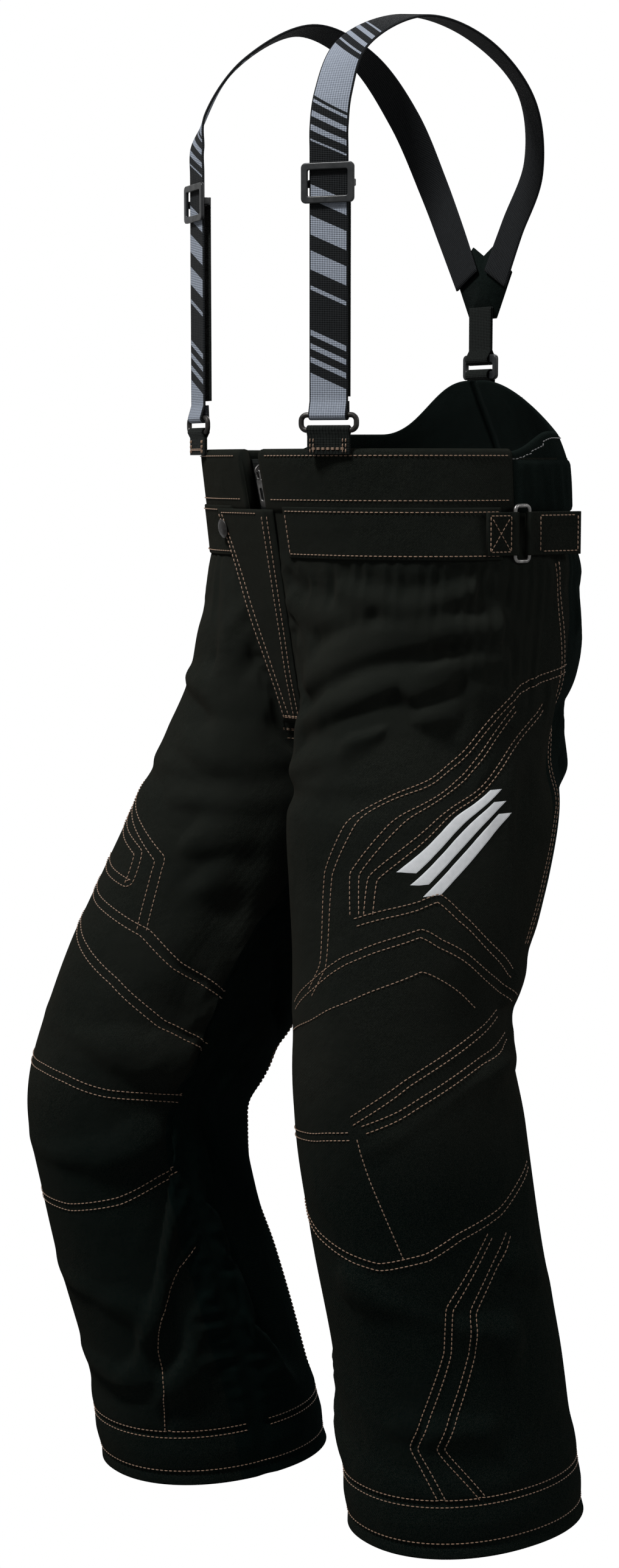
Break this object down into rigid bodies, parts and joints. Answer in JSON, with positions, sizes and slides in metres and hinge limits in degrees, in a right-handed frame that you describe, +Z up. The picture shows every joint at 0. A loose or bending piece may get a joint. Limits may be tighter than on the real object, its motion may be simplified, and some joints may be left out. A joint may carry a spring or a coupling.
{
  "type": "insulated snow trousers with suspenders",
  "caption": "Child's insulated snow trousers with elastic suspenders, standing open as if worn, with a zip fly under a snapped flap and side waist adjusters.",
  "frame": {"origin": "centre of the bounding box at floor level, with both hems standing on z = 0", "axes": "+Z up, the wearer faces -Y, the wearer's left is +X"},
  "size_m": [0.357, 0.3428, 1.0556],
  "materials": {
    "shell_black": "matte woven nylon",
    "shell_black_back": "matte woven nylon",
    "lining_black": "smooth taffeta",
    "insulation_fill": "polyester wadding",
    "knee_foam": "closed-cell foam",
    "webbing_black": "woven elastic webbing",
    "strap_print": "woven elastic with grey bands",
    "plastic_black": "moulded",
    "metal_dark": "dark plated metal"
  },
  "bodies": {
    "trousers": {"left_front_hip_panel": "shell_black", "left_front_thigh_panel": "shell_black", "left_thigh_inset_panel": "shell_black", "left_knee_panel": "shell_black", "left_under_knee_panel": "shell_black_back", "left_shin_panel": "shell_black_back", "left_back_upper_panel": "shell_black_back", "left_back_calf_panel": "shell_black_back", "left_insulation": "insulation_fill", "left_lining": "lining_black", "left_knee_pad": "knee_foam", "left_front_waistband": "shell_black", "left_waist_belt_strip": "shell_black", "left_hem_band": "shell_black_back", "right_front_hip_panel": "shell_black", "right_front_thigh_panel": "shell_black", "right_thigh_inset_panel": "shell_black", "right_knee_panel": "shell_black", "right_under_knee_panel": "shell_black_back", "right_shin_panel": "shell_black_back", "right_back_upper_panel": "shell_black_back", "right_back_calf_panel": "shell_black_back", "right_insulation": "insulation_fill", "right_lining": "lining_black", "right_knee_pad": "knee_foam", "right_front_waistband": "shell_black", "right_waist_belt_strip": "shell_black", "right_hem_band": "shell_black_back", "back_waistband": "shell_black_back", "back_yoke": "shell_black_back", "zip_tape_left": "webbing_black", "zip_tape_right": "webbing_black", "zip_teeth": "plastic_black", "zip_bottom_stop": "metal_dark", "snap_stud": "metal_dark", "left_waist_ring": "metal_dark", "left_ring_tab": "webbing_black", "right_waist_ring": "metal_dark", "right_ring_tab": "webbing_black", "left_front_ring": "metal_dark", "left_front_tab": "webbing_black", "left_strap_return": "webbing_black", "left_strap": "strap_print", "right_front_ring": "metal_dark", "right_front_tab": "webbing_black", "right_strap_return": "webbing_black", "right_strap": "strap_print", "crossing_patch": "webbing_black", "back_ring": "plastic_black", "back_strap": "webbing_black", "back_tab": "webbing_black"},
    "fly_flap": {"fly_flap": "shell_black", "snap_cap": "metal_dark", "snap_socket": "metal_dark"},
    "zip_slider": {"zip_slider": "metal_dark"},
    "zip_pull": {"zip_pull": "metal_dark"},
    "left_adjuster": {"left_adjuster": "plastic_black"},
    "right_adjuster": {"right_adjuster": "plastic_black"},
    "left_waist_tab": {"left_waist_tab": "shell_black_back"},
    "right_waist_tab": {"right_waist_tab": "shell_black_back"}
  },
  "joints": [
    {"name": "fly_flap_hinge", "type": "hinge", "parent": "trousers", "child": "fly_flap", "pos_m": [0.0245, -0.02664, 0.567], "axis": [0.0456, -0.211, 0.9764], "range_deg": [0, 100]},
    {"name": "zip_slide", "type": "slide", "parent": "trousers", "child": "zip_slider", "axis": [0, -0.22, 0.9755], "range_m": [-0.148, 0]},
    {"name": "zip_pull_hinge", "type": "hinge", "parent": "zip_slider", "child": "zip_pull", "pos_m": [0.0115, -0.05731, 0.74315], "axis": [-1, 0, 0], "range_deg": [0, 120]},
    {"name": "left_adjuster_slide", "type": "slide", "parent": "trousers", "child": "left_adjuster", "axis": [0, 0, 1], "range_m": [-0.1, 0]},
    {"name": "right_adjuster_slide", "type": "slide", "parent": "trousers", "child": "right_adjuster", "axis": [0, 0, 1], "range_m": [-0.1, 0]},
    {"name": "left_waist_tab_peel", "type": "hinge", "parent": "trousers", "child": "left_waist_tab", "pos_m": [0.15496, 0.0654, 0.7015], "axis": [0, 0, -1], "range_deg": [0, 90]},
    {"name": "right_waist_tab_peel", "type": "hinge", "parent": "trousers", "child": "right_waist_tab", "pos_m": [-0.13196, 0.0654, 0.7015], "axis": [0, 0, 1], "range_deg": [0, 90]}
  ]
}
